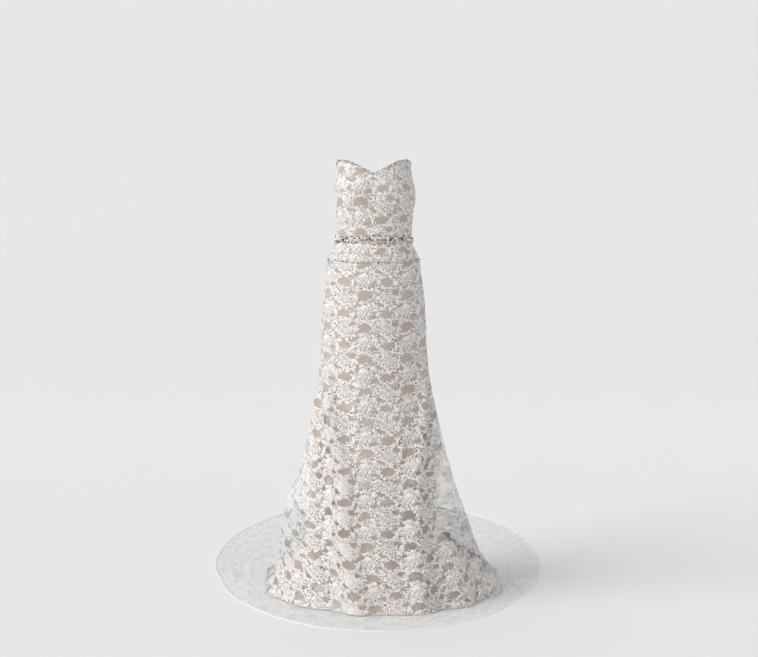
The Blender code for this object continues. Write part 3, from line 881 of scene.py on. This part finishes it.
def nodes_tree(name, inputs, nodes, settings, links, chain):
    """A Geometry Nodes tree from tables of its inputs, its nodes, their settings and its links.

    An input's row names the node and the socket that it feeds, and chain is the geometry's way to the
    result. Also given back are the inputs' identifiers and the nodes, both by name.
    """
    tree = bpy.data.node_groups.new(name, "GeometryNodeTree")
    tree.interface.new_socket("Geometry", in_out="INPUT", socket_type="NodeSocketGeometry")
    sockets = {}
    for label, kind, _, _ in inputs:
        kind = "NodeSocket" + kind
        sockets[label] = tree.interface.new_socket(label, in_out="INPUT", socket_type=kind).identifier
    tree.interface.new_socket("Geometry", in_out="OUTPUT", socket_type="NodeSocketGeometry")
    made = {label: tree.nodes.new(kind) for label, kind in nodes.items()}
    for label, setting, value in settings:
        setattr(made[label], setting, value)
    links = links + [("given", label, target, socket) for label, _, target, socket in inputs]
    links += [(source, "Geometry", target, "Geometry") for source, target in zip(chain, chain[1:])]
    for source, output, target, socket in links:
        tree.links.new(made[source].outputs[output], made[target].inputs[socket])
    return tree, sockets, made


# Repeats the motif over the cut of a cloth, then lays it on the cloth's surface
FLOWER_INPUTS = [
    ("Cloth", "Object", "cloth", "Object"),
    ("Motif", "Object", "motif", "Object"),
    ("Size Along", "Float", "lattice", "Size X"),
    ("Size Down", "Float", "lattice", "Size Y"),
    ("Columns", "Int", "lattice", "Vertices X"),
    ("Rows", "Int", "lattice", "Vertices Y"),
    ("Middle", "Vector", "move", "Translation"),
    ("Lift", "Float", "raise", 1),
    ("Thread", "Material", "colour", "Material"),
]
FLOWER_NODES = {
    "given": "NodeGroupInput",
    "cloth": "GeometryNodeObjectInfo",
    "motif": "GeometryNodeObjectInfo",
    "lattice": "GeometryNodeMeshGrid",
    "move": "GeometryNodeTransform",
    "instance": "GeometryNodeInstanceOnPoints",
    "realize": "GeometryNodeRealizeInstances",
    "place": "GeometryNodeInputPosition",
    "normal": "GeometryNodeInputNormal",
    "cut": "GeometryNodeInputNamedAttribute",
    "on_cloth": "GeometryNodeSampleUVSurface",
    "out_of_cloth": "GeometryNodeSampleUVSurface",
    "backed": "GeometryNodeInputNamedAttribute",
    "backed_there": "GeometryNodeSampleUVSurface",
    "keep_backed": "GeometryNodeStoreNamedAttribute",
    "off_cloth": "FunctionNodeBooleanMath",
    "remove": "GeometryNodeDeleteGeometry",
    "height": "ShaderNodeSeparateXYZ",
    "raise": "ShaderNodeMath",
    "outwards": "ShaderNodeVectorMath",
    "where": "ShaderNodeVectorMath",
    "lay": "GeometryNodeSetPosition",
    "smooth": "GeometryNodeSetShadeSmooth",
    "colour": "GeometryNodeSetMaterial",
    "result": "NodeGroupOutput",
}
FLOWER_SETTINGS = [
    ("cut", "data_type", "FLOAT_VECTOR"),
    ("on_cloth", "data_type", "FLOAT_VECTOR"),
    ("out_of_cloth", "data_type", "FLOAT_VECTOR"),
    ("off_cloth", "operation", "NOT"),
    ("outwards", "operation", "SCALE"),
]
FLOWER_LINKS = [
    ("lattice", "Mesh", "move", "Geometry"),
    ("move", "Geometry", "instance", "Points"),
    ("motif", "Geometry", "instance", "Instance"),
    ("instance", "Instances", "realize", "Geometry"),
    ("place", "Position", "on_cloth", "Value"),
    ("normal", "Normal", "out_of_cloth", "Value"),
    ("backed", "Attribute", "backed_there", "Value"),
    ("on_cloth", "Is Valid", "off_cloth", 0),
    ("off_cloth", 0, "remove", "Selection"),
    ("place", "Position", "height", 0),
    ("height", "Z", "raise", 0),
    ("out_of_cloth", "Value", "outwards", 0),
    ("raise", 0, "outwards", "Scale"),
    ("outwards", 0, "where", 0),
    ("on_cloth", "Value", "where", 1),
    ("backed_there", "Value", "keep_backed", "Value"),
    ("where", 0, "lay", "Position"),
]
FLOWER_CHAIN = ["realize", "remove", "keep_backed", "lay", "smooth", "colour", "result"]
for sampled in ("on_cloth", "out_of_cloth", "backed_there"):
    FLOWER_LINKS += [
        ("cloth", "Geometry", sampled, "Mesh"),
        ("cut", "Attribute", sampled, "Source UV Map"),
        ("place", "Position", sampled, "Sample UV"),
    ]
flowers_on_cloth, flower_inputs, made = nodes_tree(
    "flowers_on_cloth", FLOWER_INPUTS, FLOWER_NODES, FLOWER_SETTINGS, FLOWER_LINKS, FLOWER_CHAIN
)
for label, attribute in (("cut", "cut"), ("backed", "backed"), ("keep_backed", "backed")):
    made[label].inputs["Name"].default_value = attribute


def grown(name, mesh, tree, sockets, values):
    """The piece that a Geometry Nodes tree makes of a mesh, as a plain mesh with no modifier."""
    carrier = in_scene(name, mesh)
    modifier = carrier.modifiers.new(name, "NODES")
    modifier.node_group = tree
    for key, value in values.items():
        modifier[sockets[key]] = value
    graph = bpy.context.evaluated_depsgraph_get()
    finished = carrier.evaluated_get(graph)
    mesh = bpy.data.meshes.new_from_object(finished, preserve_all_data_layers=True, depsgraph=graph)
    bpy.data.objects.remove(carrier)
    return in_scene(name, mesh)


def lay_flowers(name, grids, phase, along=None):
    """Flowers over a cloth that is given as grids of points and their cuts."""
    points, faces = joined([grid for grid, _, _ in grids])
    cuts = np.concatenate([cut_map.reshape(-1, 2) for _, cut_map, _ in grids])
    host = mesh_piece("host", points, faces, cuts, flower_thread)
    give_values(host.data, "backed", np.concatenate([backed for _, _, backed in grids]))
    low, high = cuts.min(axis=0), cuts.max(axis=0)
    if along is not None:
        low[0], high[0] = along
    first = np.floor((low - phase) / REPEAT + (0.5 if along is not None else 0.0))
    last = np.ceil((high - phase) / REPEAT + (-0.5 if along is not None else 0.0))
    steps = (last - first).astype(int)
    middle = (first + last) / 2 * REPEAT + phase
    values = {
        "Cloth": host,
        "Motif": motif,
        "Size Along": float(steps[0] * REPEAT[0]),
        "Size Down": float(steps[1] * REPEAT[1]),
        "Columns": int(steps[0] + 1),
        "Rows": int(steps[1] + 1),
        "Middle": (float(middle[0]), float(middle[1]), 0.0),
        "Lift": ON_LACE,
        "Thread": flower_thread,
    }
    piece = grown(name, bpy.data.meshes.new(name), flowers_on_cloth, flower_inputs, values)
    bpy.data.objects.remove(host)
    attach(piece, "root")


lay_flowers("worked_flowers_front", [lace_hosts["front"]], SKIRT_PHASE)
lay_flowers("worked_flowers_back_right", [lace_hosts["back"]], SKIRT_PHASE, (-REPEAT[0] * 10, 0.0))
lay_flowers("worked_flowers_back_left", [lace_hosts["back"]], SKIRT_PHASE, (REPEAT[0], REPEAT[0] * 10))
lay_flowers("worked_flowers_bodice", bodice_hosts, BODICE_PHASE)
bpy.data.objects.remove(motif)


# Beaded trims: two rows of small silver beads and a fine ribbon, sewn along the neckline and along the
# bodice's lower edge.

BEAD_SILVER = (0.58, 0.58, 0.60)
# Painted dark reflection and painted glint for the silver beads
BEAD_PAINTED_DARK_REFLECTION = (0.075, 0.07, 0.065)
BEAD_PAINTED_GLINT = (0.95, 0.94, 0.92)
RIBBON = (0.80, 0.775, 0.75)
BAND_COLUMNS = 360
SMALL_BEAD = 0.0014
SMALL_BEAD_STEP = 0.0042
FULL_TURN = 6.28
TRIM_RIBBON = {"neckline_trim": 0.0058, "bodice_hem_trim": 0.0066}
RIBBON_THICKNESS = 0.0007
RIBBON_SHARES = [0.04, 0.5, 0.96]
BEAD_SHARES = [0.24, 0.74]

silver, silver_shader, cut = new_material("silver_beads", BEAD_SILVER, 0.22, Metallic=1.0)
chance = cut.node("ShaderNodeNewGeometry", output=8)
# Each bead's colour runs at random from near black, a painted dark reflection, to white, a painted glint,
# in place of one silver
feed(mix_colours(chance.ramp(0.45, 0.6), BEAD_PAINTED_DARK_REFLECTION, BEAD_PAINTED_GLINT), silver_shader, "Base Color")
feed(chance.ramp(0.5, 0.6, 1.0, 0.0), silver_shader, "Metallic")
ribbon_satin, _, _ = new_material("ribbon", RIBBON, 0.5, Sheen_Weight=0.2)

# Sets beads of one shape at even steps along a line, turned and sized at random
BEAD_INPUTS = [
    ("Bead", "Object", "bead", "Object"),
    ("Step", "Float", "steps", "Length"),
    ("Turn", "Float", "turned", 1),
    ("Smallest", "Float", "sized", 2),
    ("Metal", "Material", "colour", "Material"),
]
BEAD_NODES = {
    "given": "NodeGroupInput",
    "line": "GeometryNodeMeshToCurve",
    "steps": "GeometryNodeCurveToPoints",
    "bead": "GeometryNodeObjectInfo",
    "turned": "FunctionNodeRandomValue",
    "sized": "FunctionNodeRandomValue",
    "thread": "GeometryNodeInstanceOnPoints",
    "realize": "GeometryNodeRealizeInstances",
    "colour": "GeometryNodeSetMaterial",
    "result": "NodeGroupOutput",
}
BEAD_SETTINGS = [
    ("steps", "mode", "LENGTH"),
    ("turned", "data_type", "FLOAT_VECTOR"),
]
BEAD_LINKS = [
    ("given", "Geometry", "line", "Mesh"),
    ("line", "Curve", "steps", "Curve"),
    ("steps", "Points", "thread", "Points"),
    ("bead", "Geometry", "thread", "Instance"),
    ("turned", 0, "thread", "Rotation"),
    ("sized", 1, "thread", "Scale"),
    ("thread", "Instances", "realize", "Geometry"),
]
beads_on_line, bead_inputs, made = nodes_tree(
    "beads_on_line", BEAD_INPUTS, BEAD_NODES, BEAD_SETTINGS, BEAD_LINKS, ["realize", "colour", "result"]
)
made["turned"].inputs["Seed"].default_value = 4
made["sized"].inputs["Seed"].default_value = 9
made["sized"].inputs[3].default_value = 1.0


def bead(name, radius, segments, rows, squeeze=1.0, smooth=True):
    """A ball of flat faces, pressed flatter by squeeze."""
    mesh = bpy.data.meshes.new(name)
    around = np.linspace(0, 2 * np.pi, segments, endpoint=False)
    points = [(0.0, 0.0, radius * squeeze)]
    for row in range(1, rows):
        polar = math.pi * row / rows
        flat, height = radius * math.sin(polar), radius * squeeze * math.cos(polar)
        points += [(flat * math.cos(angle), flat * math.sin(angle), height) for angle in around]
    points.append((0.0, 0.0, -radius * squeeze))
    faces = [(0, 1 + i, 1 + (i + 1) % segments) for i in range(segments)]
    for row in range(rows - 2):
        for i in range(segments):
            a, b = 1 + row * segments + i, 1 + row * segments + (i + 1) % segments
            faces.append((a, a + segments, b + segments, b))
    low = 1 + (rows - 2) * segments
    faces += [(len(points) - 1, low + (i + 1) % segments, low + i) for i in range(segments)]
    mesh.from_pydata(points, [], faces)
    if smooth:
        mesh.shade_smooth()
    return in_scene(name, mesh)


def bead_rows(name, lines, shape, step, metal, smallest=0.85):
    """Rows of beads along lines of points, as one piece."""
    points = np.concatenate(lines)
    edges, offset = [], 0
    for line in lines:
        edges += [(offset + i, offset + i + 1) for i in range(len(line) - 1)]
        offset += len(line)
    mesh = bpy.data.meshes.new(name)
    mesh.from_pydata(points.tolist(), edges, [])
    values = {"Bead": shape, "Step": step, "Turn": FULL_TURN, "Smallest": smallest, "Metal": metal}
    piece = grown(name, mesh, beads_on_line, bead_inputs, values)
    bpy.data.objects.remove(shape)
    piece.data.validate()
    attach(piece, "root")


def band_line(out, height_of):
    """A line round the bodice at a height for each angle, moved out."""
    angles = np.linspace(-179.7, 179.7, BAND_COLUMNS)
    heights = height_of(angles)[None, :]
    points, directions = garment(np.repeat(heights, 2, axis=0), np.repeat(angles[None, :], 2, axis=0))
    return points[0] + directions[0] * out


def hem_height(angles):
    return waist_seam(angles) + SEAM_GAP / 2


def trim_line(out, edge, above):
    """A line along an edge of the bodice, a distance above it."""
    return band_line(out, lambda angles: edge(angles) + above)


near = BODICE_THICKNESS + SEAM_GAP
for name, edge, inwards in (("neckline_trim", neckline, -1), ("bodice_hem_trim", hem_height, 1)):
    width = inwards * TRIM_RIBBON[name]
    shares = RIBBON_SHARES[::-inwards]
    outer = np.stack([trim_line(near + RIBBON_THICKNESS, edge, width * share) for share in shares])
    inner = np.stack([trim_line(near, edge, width * share) for share in shares])
    ribbon = cloth(name + "_ribbon", outer, inner, cut_of(outer, BAND_COLUMNS // 2), ribbon_satin)
    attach(ribbon, "root")
    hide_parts(name)
    place = near + RIBBON_THICKNESS + SMALL_BEAD * 0.7
    lines = [trim_line(place, edge, width * share) for share in BEAD_SHARES]
    bead_rows(name + "_beads", lines, bead("small_bead", SMALL_BEAD, 6, 4), SMALL_BEAD_STEP, silver)


# Belt: a satin ribbon round the waist with cut crystals in silver settings between rows of beads,
# and a taller motif just to the right of the middle.

BELT_HEIGHT = 0.025
BELT_MOTIF_HEIGHT = 0.034
BELT_MOTIF_ANGLE = 8.0
BELT_MOTIF_HALF_ANGLE = 10.0
BELT_BASE = 0.0016
BELT_SATIN = (0.62, 0.575, 0.53)
CRYSTAL = (0.75, 0.76, 0.78)
# Painted dark reflection and painted glint for the belt's stones
CRYSTAL_PAINTED_DARK_REFLECTION = (0.05, 0.042, 0.036)
CRYSTAL_PAINTED_GLINT = (1.0, 0.98, 0.95)

crystal, crystal_shader, cut = new_material("crystal", CRYSTAL, 0.05, Metallic=1.0)
chance = cut.node("ShaderNodeNewGeometry", output=8)
# Each stone's colour runs at random from near black, a painted dark reflection, to white, a painted glint
feed(mix_colours(chance.ramp(0.34, 0.42), CRYSTAL_PAINTED_DARK_REFLECTION, CRYSTAL_PAINTED_GLINT), crystal_shader, "Base Color")
feed(chance.ramp(0.45, 0.75, 1.0, 0.1), crystal_shader, "Metallic")
belt_satin, _, _ = new_material("belt_satin", BELT_SATIN, 0.45, Sheen_Weight=0.2)


def belt_line(out, level):
    """A line along the belt, whose level is -1 at the lower edge and 1 at the upper edge."""

    def height_of(angles):
        near_motif = bump(angles - BELT_MOTIF_ANGLE, BELT_MOTIF_HALF_ANGLE)
        return level * ((BELT_HEIGHT + (BELT_MOTIF_HEIGHT - BELT_HEIGHT) * near_motif) / 2)

    return band_line(out, height_of)


levels = np.linspace(0.94, -0.94, 7)
outer = np.stack([belt_line(near + BELT_BASE, level) for level in levels])
inner = np.stack([belt_line(near, level) for level in levels])
belt = cloth("belt_ribbon", outer, inner, cut_of(outer, BAND_COLUMNS // 2), belt_satin)
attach(belt, "root")
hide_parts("belt")

BELT_ROWS = [
    # name, levels, radius, squeeze, step, smallest share of the size, how far out
    ("belt_edge_beads", (-0.90, 0.90), 0.0016, 1.0, 0.0040, 0.4, 0.0007),
    ("belt_small_crystals", (-0.66, 0.66), 0.0023, 0.8, 0.0052, 0.5, 0.0010),
    ("belt_filling_beads", (-0.40, 0.40), 0.0018, 0.9, 0.0043, 0.4, 0.0008),
    ("belt_crystals", (-0.12, 0.16), 0.0034, 0.7, 0.0080, 0.55, 0.0015),
]
for name, levels, radius, squeeze, step, smallest, out in BELT_ROWS:
    lines = [belt_line(near + BELT_BASE + out, level) for level in levels]
    stone = bead(name + "_stone", radius, 7, 4, squeeze, False)
    bead_rows(name, lines, stone, step, crystal, smallest=smallest)


# Hem edging: a narrow corded band sewn round the hem of the lace, lying on the floor.

EDGING_WIDTH = 0.006
EDGING_THICKNESS = 0.0016
EDGING_WHITE = (0.88, 0.87, 0.86)
EDGING_PROFILE = [(0.0, 0.35), (0.18, 0.95), (0.38, 0.6), (0.6, 0.6), (0.82, 1.0), (1.0, 0.3)]

edging_cord, edging_shader, cut = new_material("edging_cord", EDGING_WHITE, 0.55, Sheen_Weight=0.3)
twist = cut.node("ShaderNodeTexWave", inputs={"Vector": cut, "Scale": 160.0, "Distortion": 0.0})
feed(bumped(twist, 0.6, 0.0005), edging_shader, "Normal")

angles = np.linspace(-180.0, 180.0, 720, endpoint=False)
heights = np.full((2, len(angles)), FLOOR)
hem, out = garment(heights, np.repeat(angles[None, :], 2, axis=0), np.ones(2))
hem, out = hem[0], out[0]
outer, inner = [], []
for share, raised in EDGING_PROFILE:
    point = hem + out * (SEAM_GAP + EDGING_WIDTH * share)
    outer.append(point + np.array([0.0, 0.0, EDGING_THICKNESS * raised]))
    inner.append(point)
outer, inner = np.stack(outer), np.stack(inner)
edging = cloth("hem_edging", outer, inner, cut_of(outer, 360), edging_cord, ring=True)
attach(edging, "root")
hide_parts("train_edging")


# Stage: a plain pale floor that runs up into a plain backdrop, with painted shade where it curves and
# takes more light, so that it looks even, with soft light from the left and a fill.

BACKDROP = (0.805, 0.805, 0.81)
BACKDROP_CURVE_PAINTED_SHADE = (0.73, 0.73, 0.735)
BACKDROP_START = 3.0
BACKDROP_RADIUS = 1.5
BACKDROP_TOP = 6.0
STAGE_REACH = 40.0
STAGE_LEVEL = FLOOR - 0.0002
CURVE_STEPS = 16
SKY = (0.55, 0.55, 0.56)
SKY_LIGHT = (1.0, 1.0, 1.0)
SKY_LIGHT_FROM = (-0.40, -0.30, 0.85)

stage_material, stage_shader, _ = new_material("stage", BACKDROP, 0.9, Specular_IOR_Level=0.1)
stage_tree = stage_material.node_tree
slope = Value(stage_tree, stage_tree.nodes.new("ShaderNodeNewGeometry").outputs["Normal"])
level, upright = [slope.node("ShaderNodeSeparateXYZ", output=axis, inputs={0: slope}) for axis in (2, 1)]
# Painted shade on the curve, where the light falls more fully, so that the backdrop looks even
feed(mix_colours(level * upright * -2.0, BACKDROP, BACKDROP_CURVE_PAINTED_SHADE), stage_shader, "Base Color")

path = [(-STAGE_REACH, STAGE_LEVEL), (BACKDROP_START, STAGE_LEVEL)]
for step in range(1, CURVE_STEPS + 1):
    turn = math.pi / 2 * step / CURVE_STEPS
    back, up = BACKDROP_RADIUS * math.sin(turn), BACKDROP_RADIUS * (1 - math.cos(turn))
    path.append((BACKDROP_START + back, FLOOR + up))
path.append((BACKDROP_START + BACKDROP_RADIUS, BACKDROP_TOP))
stage_points = [(x, y, z) for y, z in path for x in (-STAGE_REACH, STAGE_REACH)]
stage_faces = [(2 * i, 2 * i + 1, 2 * i + 3, 2 * i + 2) for i in range(len(path) - 1)]
stage_mesh = bpy.data.meshes.new("stage")
stage_mesh.from_pydata(stage_points, [], stage_faces)
stage_mesh.shade_smooth()
stage_mesh.materials.append(stage_material)
in_scene("stage", stage_mesh)

world = bpy.data.worlds.new("studio")
bpy.context.scene.world = world
world.use_nodes = True
background = world.node_tree.nodes["Background"]
direction = Value(world.node_tree, world.node_tree.nodes.new("ShaderNodeTexCoord").outputs["Generated"])
inputs = {0: direction, 1: SKY_LIGHT_FROM}
towards = direction.node("ShaderNodeVectorMath", output=1, inputs=inputs, operation="DOT_PRODUCT")
feed(mix_colours(towards.ramp(-0.9, 0.9), SKY, SKY_LIGHT), background, "Color")
background.inputs["Strength"].default_value = 0.73

sun_data = bpy.data.lights.new("key", "SUN")
sun_data.energy = 1.9
sun_data.angle = math.radians(42)
sun = in_scene("key", sun_data)
sun.rotation_euler = (math.radians(64), 0.0, math.radians(-62))

camera_data = bpy.data.cameras.new("camera")
camera_data.sensor_width = 36.0
camera_data.lens = 60.34
camera = in_scene("camera", camera_data)
camera.location = (0.016, -3.927, 0.0569)
camera.rotation_euler = (math.radians(90 - 4.863), 0.0, 0.0)
bpy.context.scene.camera = camera
bpy.context.scene.view_settings.view_transform = "Standard"
bpy.context.scene.view_settings.look = "None"
